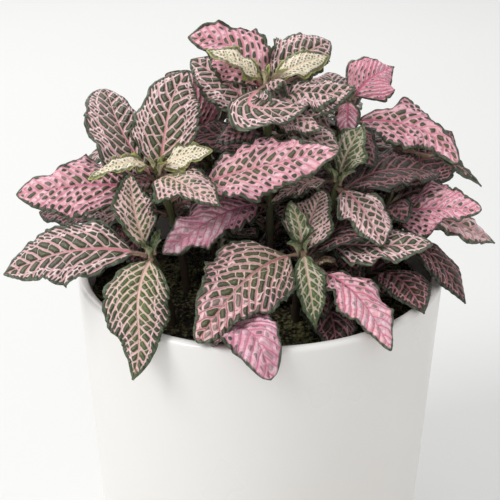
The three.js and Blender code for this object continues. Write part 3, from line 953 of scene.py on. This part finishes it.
def leaf_finish(
    name, veins, strong, inner, outer, rim, under,
    net=0.04, thick=1.0, loss=0.15, grain=1.0, rim_width=1.0, depth=1.0, rough=0.36,
):
    """A blade's finish: islands of green between veins.

    veins is the veins' colour and strong that of their cores. The islands are the colour
    inner by the midrib and outer by the edge, which has a border of the colour rim. The
    underside is the colour under. net is half the width of the fine veins in millimetres,
    and thick makes the side veins thicker. With loss some islands shrink or vanish, and
    grain sets the islands' size. rim_width is the border's width and depth the height of
    the relief, both in millimetres.
    Each leaf has three marks of its own: bloom lets the veins' colour run out over its
    islands towards the tip, fresh keeps it green and cream towards the base, and the last
    is painted shade: it makes the leaf as dark and dull as leaves are in the shade of others.
    """
    made = {}

    def net_at(place):
        """The same net for colour, roughness and relief."""
        if not made:
            made.update(vein_net(place, net, thick, loss, grain))
        return made

    def base(place):
        return blade_colour(net_at(place), veins, strong, inner, outer, rim, under, rim_width)

    def roughness(place):
        m = net_at(place)
        return m["inland"].ramp(-0.2, 0.3).mix(rough + 0.12, rough) + m["spot"].noise(1.5) * 0.1

    def relief(place):
        m = net_at(place)
        bulge = m["inland"].ramp(-0.6, 1.3) + m["core"].ramp(0.0, 1.0) * 0.5
        return (bulge + m["spot"].noise(3.0, 3.0) * 0.25) * m["face"]

    constants = {"Coat_Weight": 0.12, "Coat_Roughness": 0.35}
    return new_material(name, base, roughness, relief, depth * MM, **constants)


FINISHES = {
    "nerved": leaf_finish(
        "nerved_leaf", colour(252, 220, 217), colour(222, 142, 151), colour(80, 92, 56),
        colour(62, 73, 56), colour(112, 122, 98), colour(150, 150, 132),
    ),
    "rose_ribbed": leaf_finish(
        "rose_ribbed_leaf", colour(250, 202, 200), colour(158, 70, 88), colour(78, 88, 50),
        colour(58, 68, 50), colour(104, 116, 90), colour(150, 150, 132), grain=0.9,
    ),
    "pale": leaf_finish(
        "pale_leaf", colour(248, 216, 210), colour(232, 172, 174), colour(98, 116, 62),
        colour(66, 82, 58), colour(96, 112, 80), colour(160, 166, 138),
        thick=0.8, loss=0.1, grain=0.72,
    ),
    "flushed": leaf_finish(
        "flushed_leaf", colour(250, 192, 200), colour(214, 110, 142), colour(92, 96, 60),
        colour(62, 72, 52), colour(98, 108, 84), colour(176, 140, 140),
        net=0.14, loss=0.5, grain=0.78,
    ),
    "rosy": leaf_finish(
        "rosy_leaf", colour(234, 172, 188), colour(204, 112, 144), colour(92, 84, 66),
        colour(62, 68, 54), colour(92, 102, 80), colour(176, 130, 140), loss=0.6, grain=0.8,
    ),
    # Painted shade: a darker, duller copy of the nerved colours, for leaves in the shade of others.
    "shaded": leaf_finish(
        "shaded_leaf", colour(198, 134, 137), colour(168, 96, 106), colour(56, 58, 42),
        colour(44, 48, 38), colour(74, 82, 64), colour(96, 92, 80), net=0.0, thick=0.75, loss=0.1,
    ),
    "young": leaf_finish(
        "young_leaf", colour(238, 232, 206), colour(240, 222, 196), colour(120, 122, 72),
        colour(106, 104, 70), colour(186, 192, 108), colour(214, 208, 172),
        net=0.03, thick=0.3, loss=0.4, grain=0.5, rim_width=0.4, depth=0.25,
    ),
    "fresh": leaf_finish(
        "fresh_leaf", colour(184, 182, 152), colour(200, 176, 156), colour(92, 114, 60),
        colour(76, 94, 58), colour(96, 112, 76), colour(150, 160, 120), net=0.0, thick=0.5, depth=0.5,
    ),
    "withered": leaf_finish(
        "withered_leaf", colour(206, 176, 146), colour(172, 132, 106), colour(140, 112, 82),
        colour(122, 98, 72), colour(214, 190, 160), colour(178, 148, 118),
        thick=0.6, grain=0.7, rough=0.6,
    ),
}

blade_form = leaf_tree()
grown = []  # collision trees of the leaves that stand already
STALK_END = 0.3  # the end of the stalk that meets the stem, in millimetres
# Points along and across the meshes of leaves.
FINE_MESH, ROLLED_MESH, LOWER_MESH, BUD_MESH = (64, 26), (48, 24), (38, 14), (26, 12)
TRIAL_MESH = (14, 6)
GOLDEN = 0.618  # seeds that are this far apart, without whole numbers, are spread evenly


def place_leaf(mesh, ends, form):
    """Turns a leaf and sets it on its stem: its foremost corner stops at the stem's skin."""
    turn = Euler((radians(form["roll"]), radians(-form["rise"]), radians(form["heading"])))
    heading = radians(form["heading"])
    outwards = Vector((cos(heading), sin(heading), 0))
    rotated = turn.to_matrix()
    back = max(-(rotated @ v.co).dot(outwards) for v in mesh.vertices if v.co.x < STALK_END)
    height = form["height"] * MM
    reach = stem_radius(ends, height) + back * MM - BELOW_ROD
    base = stem_point(ends, height) + outwards * reach
    mesh.transform(Matrix.LocRotScale(base, turn, Vector((MM, MM, MM))))


def leaf_values(form, seed, points):
    """The inputs of the leaves' tree for one leaf."""
    form = {**PLAIN, **form}
    stations, spans = points
    values = {key: float(form[key]) for key in LEAF_SIZES if key != "seed"}
    for key in ANGLES:
        values[key] = radians(values[key])
    values.update(seed=seed, stations=stations, spans=spans, finish=FINISHES[form["finish"]])
    return values


def make_trial(form, seed):
    """A coarse mesh of a leaf that lies along +X from the origin, in millimetres."""
    leaf = grow("trial", blade_form, leaf_values(form, seed, TRIAL_MESH))
    mesh = leaf.data
    bpy.data.objects.remove(leaf)
    return mesh


def make_leaf(name, stem, form, seed, points=FINE_MESH):
    """A leaf on its stem."""
    leaf = grow(name, blade_form, leaf_values(form, seed, points))
    place_leaf(leaf.data, stems[stem], {**PLAIN, **form})
    return leaf


def tree_of(mesh):
    """A mesh's collision tree."""
    return BVHTree.FromPolygons([v.co for v in mesh.vertices], [p.vertices for p in mesh.polygons])


# How single leaves differ from their kind's colour, and some from the frame's shape.
LOOKS = {
    "crown_back_left": dict(bloom=0.4, frill=2.0, waves=2.4),
    "crown_front": dict(
        height=183.8, length=18, width=17, sway=-0.75, bow=0.4, rise=-14, roll=32, fold=2, curl=30,
    ),
    "crown_low_left": dict(finish="rosy", bloom=1.2, frill=1.5, waves=4),
    "back_right_up": dict(bloom=1.1, width=20, taper=1.2, roll=46, frill=1.6),
    "back_right_strip": dict(bloom=1.6),
    "back_right_long": dict(bloom=0.35),
    "back_right_tail": dict(dusk=0.3),
    "left_up": dict(fresh=0.15),
    "left_front": dict(finish="pale", bloom=0.3, fresh=0.4),
    "left_long_left": dict(bloom=0.3, frill=1.4),
    "left_long_right": dict(bloom=0.35, fresh=0.15, frill=1.5, waves=4),
    "low_left_over_rim": dict(finish="pale", fresh=0.5),
    "low_left_up": dict(finish="pale", fresh=0.6),
    "front_back": dict(finish="pale", dusk=0.15),
    "front_big": dict(finish="rose_ribbed", bloom=0.4, fresh=0.2),
    "front_right": dict(bloom=1.1),
    "low_front_over_rim": dict(finish="rosy", bloom=1.0),
    "middle_left": dict(finish="pale", dusk=0.05),
    "middle_right": dict(bloom=0.2),
    "right_long": dict(bloom=0.6),
    "right_tail": dict(bloom=0.6),
    "right_back": dict(frill=0.25),
    "right_low": dict(frill=0.2),
    "right_lowest": dict(frill=0.2),
    "back_left_up": dict(bloom=1.4, heading=-168, roll=-85, width=18),
    "rear_left": dict(bloom=0.7),
    "rear_low_right": dict(bloom=1.0),
}

count = 0
for stem, leaves in LEAVES.items():
    for name, form in leaves.items():
        count += 1
        kind = form.get("finish", "nerved")
        form = {**form, **LOOKS.get(f"{stem}_{name}", {})}
        leaf = make_leaf(f"blade_{stem}_{name}", stem, form, count * GOLDEN % 1)
        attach(leaf, "root")
        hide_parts(f"leaf_{stem}_{name}")
        kind + "_leaf"
        grown.append(tree_of(leaf.data))


# ---- Rolled leaves ----------------------------------------------------------
# Young leaves at the crown whose halves are still rolled together, like tubes.

ROLLED = {
    "curl": dict(height=182, heading=-62, rise=26, length=11, width=15, fold=12, curl=170, roll=10),
    "tube": dict(height=176, heading=-28, rise=14, length=25, width=15, fold=5, curl=150, roll=-10),
    "scroll": dict(height=172, heading=-48, rise=4, length=24, width=13, fold=20, curl=140, roll=20),
}
for number, (name, form) in enumerate(ROLLED.items()):
    leaf = make_leaf("rolled_" + name, "crown", form, 0.3 * number + 0.2, ROLLED_MESH)
    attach(leaf, "root")
    grown.append(tree_of(leaf.data))


# ---- Leaves behind the others -----------------------------------------------
# Leaves that show in the gaps between those in front, most of them behind the crown. The
# last one is old, brown and withered. Each is turned or shrunk until it has room.

BEHIND = (
    ("back_left", dict(height=157, heading=18, rise=34, length=30, width=22, roll=-30)),
    ("back_left", dict(height=150, heading=-38, rise=20, length=24, width=17, roll=-20)),
    ("back_right", dict(height=162, heading=165, rise=14, length=26, width=18, roll=-30)),
    ("crown", dict(height=167, heading=65, rise=30, length=26, width=20, roll=30)),
    ("back_right", dict(height=166, heading=100, rise=25, length=26, width=20)),
    ("right", dict(height=143, heading=80, rise=10, length=28, width=20)),
    ("right", dict(height=137, heading=110, rise=6, length=28, width=20)),
    ("left", dict(height=139, heading=165, rise=0, length=34, width=20, roll=-30)),
    ("left", dict(height=143, heading=20, rise=-5, length=24, width=17, roll=30)),
    (
        "middle",
        dict(
            height=124, heading=-72, rise=38, length=14, width=13, roll=20, fold=40, curl=130,
            finish="withered", dusk=0,
        ),
    ),
)
TURNS, RISES = (0, 12, -12, 24, -24, 36, -36, 54, -54), (0, -10, 10, -20, 20, -36)
TRIES = [(turn, rise, size) for size in (1.0, 0.8, 0.62, 0.5) for rise in RISES for turn in TURNS]


def find_gap(ends, form, seed, others, allowed=lambda trial, points: True):
    """The leaf turned, lowered or shrunk, whichever first has room among the others.

    allowed says whether a trial may stand with these points, or at all with none.
    """
    plain_leaf = make_trial(form, seed)
    found = None
    for turn, rise, size in TRIES:
        trial = {**form, "heading": form["heading"] + turn, "rise": form["rise"] + rise}
        trial.update(length=form["length"] * size, width=form["width"] * size)
        if not allowed(trial, []):
            continue
        sheet = plain_leaf.copy()
        for v in sheet.vertices:
            v.co *= size
        place_leaf(sheet, ends, trial)
        tree = tree_of(sheet)
        clear = allowed(trial, [v.co for v in sheet.vertices])
        bpy.data.meshes.remove(sheet)
        if clear and not any(tree.overlap(other) for other in others):
            found = trial
            break
    bpy.data.meshes.remove(plain_leaf)
    return found


def other_rods(stem):
    """The collision trees of all stems but this one."""
    names = [name for name in stems if name != stem]
    return [tree_of(bpy.data.objects["hairy_stem_" + name].data) for name in names]


for number, (stem, form) in enumerate(BEHIND):
    seed = 0.45 * number + 0.1
    # All but the withered leaf get painted shade.
    form = {**PLAIN, "dusk": 0.25, **form}
    form = find_gap(stems[stem], form, seed, grown + other_rods(stem))
    if form:
        leaf = make_leaf(f"behind_{number}", stem, form, seed, ROLLED_MESH)
        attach(leaf, "root")
        grown.append(tree_of(leaf.data))


# ---- Lower leaves -----------------------------------------------------------
# Older leaves lower down on every stem, in crossed pairs, painted as dull as in the others' shade.
# Each grows into the first gap that has room for it.

PAIR_SPACING = 6.5  # between one pair of leaves and the next, in millimetres
FIRST_PAIR, LAST_PAIR = 6, 114  # below the stem's tip, and above the table
STEM_TURN, PAIR_TURN = 50, 87  # from one stem or pair to the next, in degrees
LOWER_LENGTH, LENGTH_SPREAD, LONGER_BEHIND = 30, 12, 10  # in millimetres
LOWER_WIDTH = 0.55  # as a share of the length
SHORT = 0.55  # a lower leaf in front is shorter than this share of its full length
BACK_FROM = 12 * MM  # stems further back have lower leaves of the nerved kind, with less painted shade
PLANTING_DEPTH = 7 * MM
INNER_STEMS = {  # short shoots between the others: where they stand and how high they end
    "inner_right": (40, 10, 152),
    "inner_middle": (4, -18, 129),
    "inner_left": (-12, -12, 134),
    "inner_back": (24, 26, 160),
    "inner_crown": (-9, 15, 170),
    "inner_top": (15, 17, 172),
    "inner_side": (-40, 8, 138),
}
SPREAD, FORWARD = 1.15, 2  # how far their tips lean outwards, and forwards in millimetres
DOME = 176  # how high the plant stands, less at the back, where it slopes down
DOME_SLOPE = 0.45
DOME_TOP, DOME_TOP_HALF = 188, 22  # higher in the middle
# Places where the soil stays bare, in millimetres: between two corners, up to a height.
BARE = (
    ((-36, 17), (3.5, 46), 120),
    ((-62, -20), (-38, 30), 118),
    ((-34, -40), (-16, 8), 124),
    ((-36, -45), (10, -7), 150),
)
# In front and at the sides no lower leaf hangs over the rim.
RIM_CLEARANCE, RIM_FREE_UP_TO, RIM_FREE_BACK_TO = 61, 126, 20
BOX_LOW, BOX_HIGH = (Vector(corner) for corner in CAD_BOX)


def over_bare_soil(points):
    """Whether a leaf would cover a bare place or the rim."""
    for point in points:
        x, y, z = point / MM
        by_the_rim = y < RIM_FREE_BACK_TO and z < RIM_FREE_UP_TO
        if by_the_rim and x**2 + y**2 > RIM_CLEARANCE**2:
            return True
        for (left, near), (right, far), top in BARE:
            if left < x < right and near < y < far and z < top:
                return True
    return False


def outside(points):
    """Whether a leaf would stand out from the rounded shape of the whole plant."""
    for point in points:
        x, y, z = point / MM
        top = DOME_TOP if abs(x) < DOME_TOP_HALF else DOME
        if z + DOME_SLOPE * y > top:
            return True
    return any(not BOX_LOW[i] <= p[i] <= BOX_HIGH[i] for p in points for i in range(3))


def joined(name, pieces):
    """One piece made of several."""
    for piece in bpy.context.selected_objects:
        piece.select_set(False)
    for piece in pieces:
        piece.select_set(True)
    bpy.context.view_layer.objects.active = pieces[0]
    bpy.ops.object.join()
    pieces[0].name = name
    return pieces[0]


for name, (x, y, top) in INNER_STEMS.items():
    foot = Vector((x, y, 0)) * MM
    foot.z = soil_height(foot.x, foot.y) - PLANTING_DEPTH
    stems[name] = (foot, Vector((x * SPREAD, y * SPREAD - FORWARD, top)) * MM)
    rod = grow("hairy_stem_" + name, hairy, {"finish": stem_skin}, stem_rod(stems[name]))
    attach(rod, "root")
standing = grown + [tree_of(piece.data) for piece in (pot, soil)]
for number, (stem, ends) in enumerate(stems.items()):
    foot, tip = ends
    others = other_rods(stem)
    pieces = []
    heights = [form["height"] for form in LEAVES.get(stem, {}).values()]
    lowest = min(heights, default=DOME_TOP) - FIRST_PAIR
    # In front, the shaded colours and more painted shade; further back, the nerved ones and less.
    kind, dusk = ("nerved", 0.1) if foot.y > BACK_FROM else ("shaded", 0.25)
    first = tip.z / MM - FIRST_PAIR
    levels = int((first - LAST_PAIR) // PAIR_SPACING) + 1
    for level in range(levels):
        height = first - PAIR_SPACING * level
        for half in (0, 180):
            seed = (number * 0.37 + level * GOLDEN + half / 400) % 1
            length = LOWER_LENGTH + LENGTH_SPREAD * seed + (LONGER_BEHIND if foot.y > 0 else 0)
            heading = number * STEM_TURN + level * PAIR_TURN + half
            form = {**PLAIN, "height": height, "heading": heading, "rise": 8}
            form.update(length=length, width=length * LOWER_WIDTH, roll=20 * sin(number + level))
            form.update(finish=kind, dusk=dusk + 0.4 * seed, stalk=0.12, bow=0.16)

            def allowed(trial, points):
                """Whether it stays clear. Among the leaves in front only a short one does."""
                faces_front = height > lowest and sin(radians(trial["heading"])) < 0
                short = trial["length"] < SHORT * length
                return (short or not faces_front) and not (outside(points) or over_bare_soil(points))

            form = find_gap(ends, form, seed, standing + others, allowed)
            if form:
                leaf = make_leaf(f"low_{stem}_{level}_{half}", stem, form, seed, LOWER_MESH)
                pieces.append(leaf)
                standing.append(tree_of(leaf.data))
    if pieces:
        shade = joined(f"lower_leaves_{stem}", pieces)
        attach(shade, "root")
        kind + "_leaf"


# ---- Buds -------------------------------------------------------------------
# At the tip of each stem small folded leaves stand close together, in crossed pairs.

BUDS = {"crown": "young", "left": "young", "low_left": "fresh", "front": "fresh", "middle": "fresh"}
BUD_PAIRS = ((9.0, 48, 1.8), (6.0, 68, 0.6))  # length, rise, and how far below the tip
BUD_WIDTH = 0.42  # as a share of the length
SMALL_BUD = 0.6  # the size of the buds of shoots that aren't named above
BUD_TURN = 67  # from one stem's bud to the next, in degrees

for number, (stem, ends) in enumerate(stems.items()):
    pieces = []
    scale = 1.0 if stem in BUDS else SMALL_BUD
    kind = BUDS.get(stem, "nerved")
    for pair, (length, rise, below) in enumerate(BUD_PAIRS):
        for half in (0, 180):
            form = dict(height=ends[1].z / MM - below, rise=rise, length=length * scale)
            form.update(width=length * scale * BUD_WIDTH)
            form.update(heading=number * BUD_TURN + 90 * pair + half + 30)
            form.update(fold=42, curl=20, bow=0.1, frill=0.15, stalk=0.12, finish=kind, fresh=0.8)
            seed = 0.1 * pair + number * 0.3
            pieces.append(make_leaf(f"bud_{stem}_{pair}_{half}", stem, form, seed, BUD_MESH))
    bud = joined(f"bud_{stem}", pieces)
    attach(bud, "root")
    kind + "_leaf"


# ---- Floor, light and camera ------------------------------------------------
# A plain pale floor under soft light from the left, and a camera that looks down a little.

FLOOR_GREY, FLOOR_PALE = colour(224, 224, 223), colour(228, 228, 227)
SKY = 0.73  # strength of the light from all around


def floor_colour(place):
    return place.noise(3.0).blend(FLOOR_GREY, FLOOR_PALE)


def floor_roughness(place):
    return place.noise(2.0) * 0.1 + 0.7


bpy.ops.mesh.primitive_plane_add(size=12, location=(0, 2, 0))
floor = bpy.context.object
floor.name = "floor"
floor.data.materials.append(new_material("pale_floor", floor_colour, floor_roughness))

world = bpy.data.worlds.new("studio")
bpy.context.scene.world = world
world.use_nodes = True
sky = world.node_tree.nodes["Background"]
sky.inputs["Color"].default_value = (1.0, 1.0, 1.0, 1.0)
sky.inputs["Strength"].default_value = SKY


def soft_light(name, place, aim, size, watts):
    """A square lamp at a place, turned towards what it lights."""
    light = bpy.data.lights.new(name, "AREA")
    light.size, light.energy = size, watts
    lamp = bpy.data.objects.new(name, light)
    bpy.context.scene.collection.objects.link(lamp)
    lamp.location = place
    lamp.rotation_euler = (Vector(aim) - Vector(place)).to_track_quat("-Z", "Y").to_euler()


soft_light("window", (-0.9, -0.5, 1.1), (0, 0, 0.13), 0.7, 10)
soft_light("back_sky", (-0.3, 0.9, 1.0), (0, 0, 0.15), 0.8, 5)

TARGET = Vector((-3.45, 0, 123)) * MM
DISTANCE = 450 * MM
PITCH = radians(24.3)
LENS, SENSOR = 91, 36
camera = bpy.data.objects.new("camera", bpy.data.cameras.new("camera"))
bpy.context.scene.collection.objects.link(camera)
camera.data.sensor_width = SENSOR
camera.data.lens = LENS
camera.data.clip_start = 10 * MM
camera.location = TARGET + Vector((0, -cos(PITCH), sin(PITCH))) * DISTANCE
camera.rotation_euler = (pi / 2 - PITCH, 0, 0)
bpy.context.scene.camera = camera
bpy.context.scene.view_settings.view_transform = "Standard"
